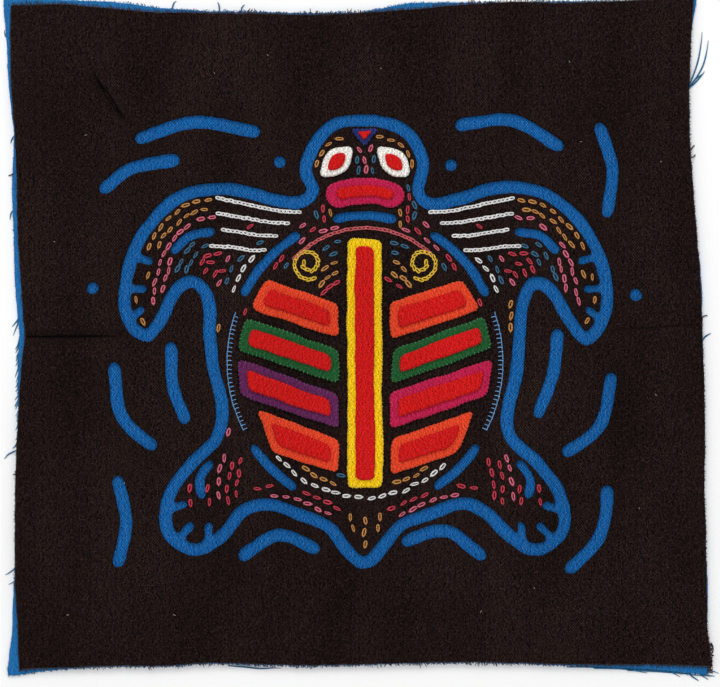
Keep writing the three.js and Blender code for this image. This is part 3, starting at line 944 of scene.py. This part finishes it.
chain_colours = {"white": (238, 236, 230), "pink": (182, 78, 84), "yellow": (220, 174, 42)}
shoulder_lines = [
    [(18.5, 38.8), (26, 39.4), (34, 41), (43.5, 43)],
    [(22, 35.6), (29, 36), (36, 37.2), (43, 38.4)],
    [(25.5, 31.8), (32, 32), (38, 33), (42.4, 33.6)],
    [(29, 27.6), (34.5, 27.6), (40, 28.4), (45, 28.8)],
]
chain_rows = {
    "white": [on_figure(rows, side) for rows in shoulder_lines for side in (1, -1)],
    "pink": [on_figure(oval(33.5, 40.2, 52, 128))],
    "yellow": [on_figure(curl(17, 23.6, 5), side) for side in (1, -1)],
}
chain_link = thread_mesh([loop_line(1.7 * MM, 0.74 * MM)], floss_width, closed=True)
stitched_lines = []
for colour, rows in chain_rows.items():
    places = []
    for row in rows:
        line = bowed(row)
        stitched_lines.append(line)
        for point, along in spaced(line, link_gap):
            level = figure_level(*point) + floss_width * 0.35
            tilt = chance.uniform(-0.12, 0.12)
            places.append((chain_link, set_at(point, level, along, chance.uniform(0.92, 1.08), tilt)))
    stitches = sewn(f"chain_line_{colour}", places, thread(f"{colour}_chain", chain_colours[colour]))


# The blanket-stitch lines.
# Light blue thread runs along each side of the back, with a short leg at every stitch.
blanket_gap = 1.35 * MM
blanket_width = 0.27 * MM
blanket_spine = in_mm([(-0.1, 0, 0), (0.7, 0.06, 0.05), (1.45, 0, 0)])
blanket_leg = in_mm([(0, 0, 0.05), (0.12, 0.7, 0.14), (0.05, 1.35, -0.05)])
blanket_stitch = thread_mesh([blanket_spine, blanket_leg], blanket_width)
places = []
for side in (1, -1):
    line = bowed(on_figure(oval(41.4, 43.4, -29, 20), side))
    stitched_lines.append(line)
    for point, along in spaced(line, blanket_gap):
        level = figure_level(*point) + 0.1 * MM
        flip = Matrix.Scale(side, 4, (0, 1, 0))
        place = set_at(point, level, along, chance.uniform(0.92, 1.06), chance.uniform(-0.08, 0.08))
        places.append((blanket_stitch, place @ flip))
blanket = sewn("blanket_stitches", places, thread("light_blue_floss", (96, 146, 196)))


# The detached chain stitches.
# Single loops of the same thread, each held down at its round end by a short stitch. They fill the head,
# the rim of the back and the limbs in close rows, in five colours, and keep clear of cuts and patches.
daisy_length = 2.1 * MM
daisy_gap = 3.4 * MM
row_gap = 2.7 * MM
clear_of_cut = 0.8 * MM
clear_of_line = 1.15 * MM
clear_of_daisy = 2.1 * MM
daisy_colours = {
    "ochre": (182, 124, 60),
    "pink": (200, 92, 116),
    "teal": (40, 92, 122),
    "crimson": (182, 40, 62),
    "white": (226, 226, 218),
}
daisy = thread_mesh([loop_line(daisy_length, 0.72 * MM)], floss_width, closed=True)
tie_width = 0.34 * MM
tie = thread_mesh([in_mm([(1.8, 0, 0.14), (2.1, 0, 0.2), (2.4, 0, -0.1)])], tie_width)
lower_patches = [line for name, line in patch_line.items() if patch_top(name) == frame_top]
patch_edges = nearest(lower_patches)
stitched_edges = nearest(stitched_lines)


def corner_arrays(lines):
    """The sides of closed lines, as arrays of their first and second ends."""
    starts = [tuple(point) for line in lines for point in line]
    ends = [tuple(point) for line in lines for point in line[1:] + line[:1]]
    return np.array(starts), np.array(ends)


def within(point, sides):
    """Whether a point is in closed lines: a line to its right then crosses them an odd number of times."""
    starts, ends = sides
    crosses = (starts[:, 1] > point.y) != (ends[:, 1] > point.y)
    starts = starts[crosses]
    ends = ends[crosses]
    share = (point.y - starts[:, 1]) / (ends[:, 1] - starts[:, 1])
    return np.count_nonzero(starts[:, 0] + share * (ends[:, 0] - starts[:, 0]) > point.x) % 2 == 1


figure_sides = corner_arrays(figure_lines)
patch_sides = corner_arrays(lower_patches)


def is_free(start, along):
    """Whether a stitch from a point on lies on the turtle's black cloth, clear of everything else."""
    for share in (0, 0.5, 1.15):
        point = start + along * daisy_length * share
        place = point.to_3d()
        if not within(point, figure_sides) or within(point, patch_sides):
            return False
        if min(figure_edges.find(place)[2], patch_edges.find(place)[2]) < clear_of_cut:
            return False
        if stitched_edges.find(place)[2] < clear_of_line:
            return False
    return True


# Columns: the rows' colours, from the first row inwards, on which side of it the next rows lie, the
# points that the first row follows, and whether it is mirrored.
daisy_fields = [
    ("ochre", 1, [(3.6, 61.4), (6.6, 60.8), (9.4, 60), (12, 58.3), (13.8, 54.8), (14.4, 51)], True),
    ("pink", 1, [(1.3, 57.2), (3.6, 60.2)], True),
    ("pink", 1, [(0, 50.6), (0, 57.4)], False),
    ("teal", 1, [(2.3, 50.6), (2.4, 54), (3, 57.6)], True),
    ("ochre", 1, [(4, 50.2), (6.4, 50.6)], True),
    ("teal", 1, [(13, 45.6), (12, 49)], True),
    ("crimson", 1, [(13.1, 44.2), (12.6, 39.4), (12.4, 34.8)], True),
    ("teal crimson ochre", -1, [(14.6, 42.2), (15.2, 39.4), (14.9, 35)], True),
    ("ochre", 1, [(10.6, 39.6), (10.5, 35)], True),
    ("ochre ochre pink pink teal teal crimson crimson crimson", -1,
     [(46.2, 42.8), (53.6, 41), (62, 33.8), (67, 24), (69, 12), (66, 5)], True),
    ("white teal pink crimson", -1, [(39.6, 15), (36.8, 21.4), (31.6, 27), (27, 29.4)], True),
    ("pink crimson teal", -1, [(15, 37.4), (21, 33.4), (26, 28.4), (30, 22.6)], True),
    ("pink", 1, oval(37.4, 41.8, 44, 78), True),
    ("teal teal ochre ochre crimson", -1, oval(30.6, 37.2, 88, 44), True),
    ("white ochre teal", -1, oval(36.8, 40.6, -34, -88), True),
    ("crimson", -1, oval(38.6, 40, 28, 20), True),
    ("ochre", -1, [(44.2, 12), (43.8, 4), (43.6, -4), (42.8, -12), (41, -20)], True),
    ("crimson crimson pink crimson crimson crimson crimson", 1, [(37, -35), (38.6, -43), (38.6, -49)], True),
    ("crimson", 1, [(41.8, -56.6), (50.8, -58.6)], True),
    ("pink pink", -1, [(43.4, -24), (44.4, -28.4), (51, -35.6), (56, -43)], True),
    ("pink crimson", -1, [(34.6, -46.6), (26, -46), (17, -48.8), (8, -53)], True),
    ("ochre", 1, [(0, -53), (0, -62)], False),
    ("ochre ochre", -1, [(4.4, -51.6), (3.2, -58)], True),
]
daisy_spots = []
daisy_places = {colour: [] for colour in daisy_colours}
for colours, turn, rows, mirrored in daisy_fields:
    for side in (1, -1) if mirrored else (1,):
        first = bowed(on_figure(rows, side))
        for number, colour in enumerate(colours.split()):
            for index, (point, along) in enumerate(spaced(first, daisy_gap / 2)):
                if (index + number) % 2:
                    continue
                aside = Vector((-along.y, along.x)) * turn * side * row_gap * number
                stray = Vector((chance.uniform(-0.3, 0.3), chance.uniform(-0.25, 0.25))) * MM
                middle = point + aside + stray
                start = middle - along * daisy_length / 2
                crowded = any((middle - spot).length < clear_of_daisy for spot in daisy_spots)
                if crowded or not is_free(start, along):
                    continue
                daisy_spots.append(middle)
                level = figure_level(*middle) + floss_width * 0.3
                size = chance.uniform(0.84, 1.1)
                place = set_at(start, level, along, size, chance.uniform(-0.25, 0.25))
                place = place @ Matrix.Diagonal((1, chance.uniform(0.85, 1.2), 1, 1))
                daisy_places[colour] += [(daisy, place), (tie, place)]
for colour, places in daisy_places.items():
    stitches = sewn(f"chain_stitches_{colour}", places, thread(f"{colour}_floss", daisy_colours[colour]))


# The yarn ends along the raw edges.
# Where the cloth is cut, its outermost yarns are gone and the ends of the crossing yarns stand out, each
# of its own length. Some are bent along the edge.
def yarn_bend(bend, drop):
    """One yarn end, a millimetre long, that leans to a side and sinks."""
    line = [(share * MM, bend * share**2 * MM, -drop * share**2 * MM) for share in (0, 0.4, 0.75, 1)]
    return thread_mesh([line], 0.3 * MM, sides=0, taper=True)


yarn_bends = [(0, 0.2), (0.35, 0.4), (-0.4, 0.3), (0.8, 0.5), (-0.7, 0.1)]
yarn_kinds = [yarn_bend(bend, drop) for bend, drop in yarn_bends]


def yarn_ends(line, level, shortest, longest):
    """A stitch and a place for each yarn end round a cloth's raw line. Along the top and the bottom the
    ends are those of the warp and stand out farther."""
    inside = 0.4 * MM
    side = inner_side(line)
    places = []
    for pitch, is_warp, farther in ((warp_pitch, True, 1.5), (weft_pitch, False, 0.5)):
        for point, along in spaced(line, pitch, closed=True):
            if (abs(along.x) > 0.7) != is_warp:
                continue
            outward = Vector((along.y, -along.x)) * side
            straight = Vector((0, outward.y) if is_warp else (outward.x, 0)).normalized()
            fullness = 0.5 + 0.5 * rough_at(*point, 6 * MM, level * 1000)
            length = shortest + (longest - shortest) * chance.random() ** 1.5 * (0.15 + 2 * fullness**3)
            size = Matrix.Diagonal(((inside + length * farther) / MM, 0.7 + 0.4 * chance.random(), 0.8, 1))
            kind = chance.choice(yarn_kinds)
            height = level + chance.uniform(-0.12, 0.12) * MM
            root = point - straight * inside
            places.append((kind, set_at(root, height, straight, 1, chance.uniform(-0.3, 0.3)) @ size))
    return places


black_yarn = thread("black_yarn", (50, 35, 30), gloss=0.08, rough=0.9)
blue_yarn = thread("blue_yarn", (2, 100, 142), gloss=0.1, rough=0.8)
black_level = 1.95 * MM
blue_level = 0.55 * MM
black_places = yarn_ends(ground_raw, black_level, shortest=0.3 * MM, longest=1.05 * MM)
black_ends = sewn("black_yarn_ends", black_places, black_yarn)

fray_sides = {"left": [], "right": [], "top": [], "bottom": []}
for stitch, place in yarn_ends(base_line, blue_level, shortest=0.12 * MM, longest=0.65 * MM):
    x, y = place.translation.xy
    if abs(x) * 0.97 > abs(y):
        fray_sides["right" if x > 0 else "left"].append((stitch, place))
    else:
        fray_sides["top" if y > 0 else "bottom"].append((stitch, place))


# The loose threads.
# Longer yarns have come out of the raw edges and lie curled on the table beside the panel, blue ones from
# the base cloth and a few black ones.
loose_width = 0.3 * MM
loose_black_width = 0.36 * MM
table_rest = 0.18 * MM
curl_reach = 0.35 * MM
# Columns: where the thread leaves the cloth, where its tip lies, and how far it bows.
loose_blue = {
    "left": [
        ((-105.6, 89), (-107.2, 91.5), 0.5),
        ((-104.6, 37.5), (-105.6, 34.8), -0.4),
        ((-101.6, -3), (-102.6, -12), 1.9),
        ((-102, 9), (-104.6, -0.2), 0.3),
        ((-102, 7), (-105, 2.4), 0.2),
        ((-103, -31), (-104.8, -34), 0.4),
        ((-103, -34.6), (-107.4, -37.5), -0.7),
        ((-103.4, -67.5), (-106.9, -72), 0.9),
        ((-103.4, -69.5), (-105.8, -75), 1.6),
        ((-104.2, 60), (-105.4, 57.6), -0.3),
    ],
    "right": [
        ((98.6, 75), (102.4, 91), -1.1),
        ((98.6, 74.6), (104.2, 88.6), -1.7),
        ((98.6, 74.2), (103.2, 79.4), -0.5),
        ((98.6, 74), (102.6, 78.6), 0.3),
        ((102.6, -2.1), (105.4, 0.4), 0.5),
    ],
    "top": [
        ((-56.7, 97.6), (-55.6, 100.6), 0.3),
        ((-42.6, 97), (-43, 100.2), -0.3),
        ((-36, 97), (-35, 99.4), 0.2),
    ],
    "bottom": [
        ((19.8, -99), (33, -99.4), 2.4),
        ((84, -100.4), (96, -102.6), 0.9),
        ((62, -99.8), (86, -101.6), 0.5),
        ((70, -100.2), (99, -102), 0.4),
        ((80, -100.8), (102.6, -102.5), 0.2),
        ((-40, -99.4), (-24, -100.4), -0.3),
        ((97, -101), (104.4, -103.6), 0.7),
        ((98.6, -101), (107.4, -101.8), 0.6),
        ((99.6, -101.2), (106.4, -102.6), -0.4),
        ((98, -101.2), (101.6, -103.9), -0.3),
    ],
}
loose_black = [
    ((99, 55.4), (100.4, 57), 0.2),
    ((99.2, 53.2), (100.6, 54.4), -0.2),
    ((102.4, 4.2), (104, 5.8), 0.7),
    ((104.6, -93), (105.8, -95.6), 0.7),
    ((-104.4, 48.6), (-105.8, 48), 0.2),
    ((-103.4, -42), (-104.6, -42.2), -0.2),
    ((-100.6, -100.6), (-101.6, -102.2), 0.3),
    ((-98, -100.4), (-98.4, -101.8), -0.2),
]
# Low on the left edge the yarns have slipped and slant down together, and at the lower right corner the
# black cloth has come apart in short ends.
slipped_yarns = 44
slipped_pitch = 0.68
corner_ends = 26
corner_pitch = 0.37
for step in range(slipped_yarns):
    y = 1.5 - slipped_pitch * step
    tip = (chance.uniform(-104.1, -103.2), y - chance.uniform(3.5, 7.5))
    loose_blue["left"].append(((-102.4, y), tip, 0.3))
for step in range(corner_ends):
    y = -92 - corner_pitch * step
    tip = (chance.uniform(105.2, 106), y + chance.uniform(-1.2, 0.8))
    loose_black.append(((104.2, y), tip, chance.uniform(-0.5, 0.6)))


def loose_line(root, tip, bow, height):
    """The way of one loose thread, from the cloth down to the table."""
    step_length = 0.8 * MM
    curls = 900
    sinks = 1.6
    start = Vector(root) * MM
    end = Vector(tip) * MM
    aside = (end - start).orthogonal().normalized() * bow * MM
    steps = max(4, round((end - start).length / step_length))
    line = []
    for step in range(steps + 1):
        share = step / steps
        curl_way = noise.noise_vector((start.x * curls, start.y * curls, share * 3)).xy
        point = start.lerp(end, share) + aside * math.sin(math.pi * share) + curl_way * curl_reach * share
        line.append((point.x, point.y, max(table_rest, height * (1 - share * sinks))))
    return line


for side, places in fray_sides.items():
    paired = [
        loose_line(root, tip, bow + aside, 0.5 * MM)
        for root, tip, bow in loose_blue[side]
        for aside in (0, 0.25)
    ]
    loose = thread_mesh(paired, loose_width, taper=True)
    piece = sewn(f"blue_yarn_{side}", [*places, (loose, Matrix.Identity(4))], blue_yarn)
    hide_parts(f"fray_{side}")
black_lines = [loose_line(root, tip, bow, 1.9 * MM) for root, tip, bow in loose_black]
black_mesh = thread_mesh(black_lines, loose_black_width)
black_loose = sewn("black_loose", [(black_mesh, Matrix.Identity(4))], black_yarn)


# The lint.
# A few pale fibres and specks of dust cling to the black cotton, as on any dark cloth.
lint_width = 0.1 * MM
# Columns: where it lies and half its length, in millimetres.
lint_spots = [
    (-82.5, 60, 0.35), (-71, -44.5, 0.21), (62.6, 82, 0.28), (83.5, -52, 0.21), (-28, 84, 0.28),
    (36, -83, 0.35), (90, 52, 0.21), (-92, 28, 0.21), (6, 80, 0.21), (-56, -84, 0.42), (-44, 78.6, 0.21),
    (88.5, -18, 0.28), (66, 58, 0.21), (-88, -84, 0.28), (52, -76, 0.21),
]
lint_lines = []
for x, y, half_length in lint_spots:
    turn = chance.uniform(0, math.pi)
    reach = Vector((math.cos(turn), math.sin(turn))) * half_length * MM
    middle = Vector((x, y)) * MM
    level = ground_top + lie_of_cloth(*middle) - 0.1 * MM
    lint_lines.append([(*(middle - reach), level), (*middle, level + 0.08 * MM), (*(middle + reach), level)])
lint_mesh = thread_mesh(lint_lines, lint_width)
lint = sewn("lint", [(lint_mesh, Matrix.Identity(4))], thread("lint_fibre", (198, 190, 176)))


# The flat sizes of the cloths.
# Each sheet lies flat on the one under it, and its flat size is what it was cut to. The flat size of each
# patch is worked out too. The patches that are too small to be sheets of their own go with the turtle's
# cloth.
least_side = 10 * MM


def flat_size(lines):
    """A cut's width, length and area."""
    xs = [point.x for point in lines[0]]
    ys = [point.y for point in lines[0]]
    areas = [abs(twice_area(line)) / 2 for line in lines]
    width = max(max(xs) - min(xs), least_side)
    length = max(max(ys) - min(ys), least_side)
    return (width, length), areas[0] - sum(areas[1:])


base_flat, base_area = flat_size([base_line])
ground_flat, ground_area = flat_size([ground_raw, *ground_turned])
for name, piece in patch_piece.items():
    flat, area = flat_size([patch_line[name]])
figure_flat, figure_area = flat_size(figure_lines)
